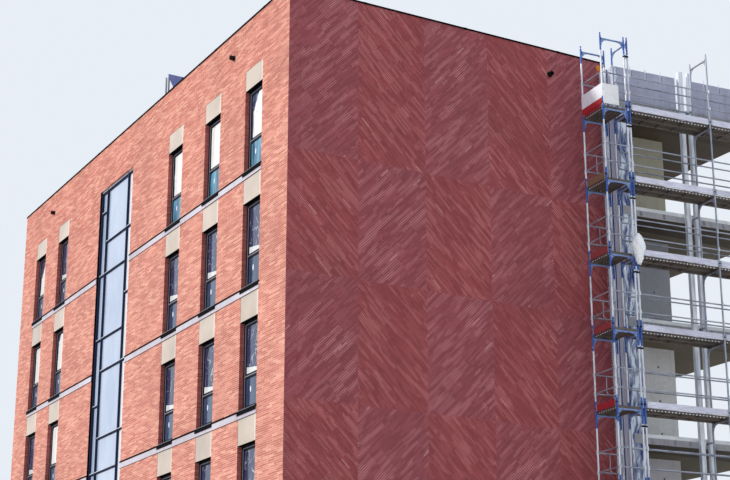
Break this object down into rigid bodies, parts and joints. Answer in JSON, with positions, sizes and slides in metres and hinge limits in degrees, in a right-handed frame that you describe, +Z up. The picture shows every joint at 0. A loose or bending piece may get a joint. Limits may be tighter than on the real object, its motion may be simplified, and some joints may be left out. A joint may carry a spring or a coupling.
{
  "type": "apartment block",
  "caption": "Brick apartment block with tall windows, a full-height stair glazing, slanted brick gable fields and an open, unfinished corner wing behind a frame scaffold.",
  "frame": {"origin": "on the ground, under the middle of the block's rectangular footprint", "axes": "+Z up, the brick gable and the open wing face -Y, the window front with the stair glazing faces -X"},
  "size_m": [15.16, 22.85, 20.98],
  "materials": {
    "brick": "unglazed long-format facing brick, pale red, with light joints",
    "gable_brick": "dark red long-format brick laid in slanted fields",
    "concrete": "cast concrete, grey, with form marks",
    "roofing": "dark roof sheet",
    "blockwork": "grey concrete blocks, dusty",
    "infill": "dark insulated infill behind the panels",
    "coping_metal": "near black folded metal",
    "band_stone": "light grey smooth band",
    "sill_metal": "near black folded metal sill",
    "panel_metal": "champagne metallic panel",
    "window_frame": "dark grey window frame, satin",
    "window_glass": "clear double glazing with protective film left on",
    "stair_frame": "blue black glazing frame, satin",
    "stair_glass": "pale reflecting glass",
    "spout_metal": "black spout",
    "galvanised": "bright galvanised steel",
    "membrane": "blue foil-faced board",
    "timber": "weathered scaffold timber",
    "tube_steel": "galvanised scaffold tube, blue at the joints",
    "blue_paint": "blue painted steel, worn",
    "deck_steel": "perforated steel deck, dusty",
    "toe_board": "toe board, grey pink, red on the short side",
    "board_white": "bare white sheet",
    "wrap_film": "crumpled white film",
    "hood_metal": "dark blue folded metal hood on thin posts"
  },
  "bodies": {
    "root": {"ground_slab": "concrete", "floor_slab_1": "concrete", "floor_slab_2": "concrete", "floor_slab_3": "concrete", "floor_slab_4": "concrete", "floor_slab_5": "concrete", "roof_slab": "roofing", "wing_slabs": "concrete", "left_wall_piers": "brick", "left_wall_beams": "brick", "gable_wall": "gable_brick", "back_wall_piers": "brick", "back_wall_beams": "brick", "right_wall_piers": "brick", "right_wall_beams": "brick", "lintels": "infill", "coping": "coping_metal", "string_bands": "band_stone", "window_sills": "sill_metal", "head_panels": "panel_metal", "left_window_frames": "window_frame", "rear_window_frames": "window_frame", "left_window_glass": "window_glass", "rear_window_glass": "window_glass", "stair_glazing_frame": "stair_frame", "stair_glazing_glass": "stair_glass", "overflow_spouts": "spout_metal", "concrete_walls": "concrete", "block_parapet": "blockwork", "steel_posts": "galvanised", "corner_studs": "galvanised", "membrane_boards": "membrane", "sole_boards": "timber", "scaffold_standards": "tube_steel", "scaffold_transoms": "blue_paint", "scaffold_brackets": "blue_paint", "scaffold_decks": "deck_steel", "scaffold_guard_rails": "tube_steel", "scaffold_toe_boards": "toe_board", "scaffold_ties": "tube_steel", "end_boards": "board_white", "wrapped_bundle": "wrap_film", "roof_hood": "hood_metal"}
  },
  "joints": []
}
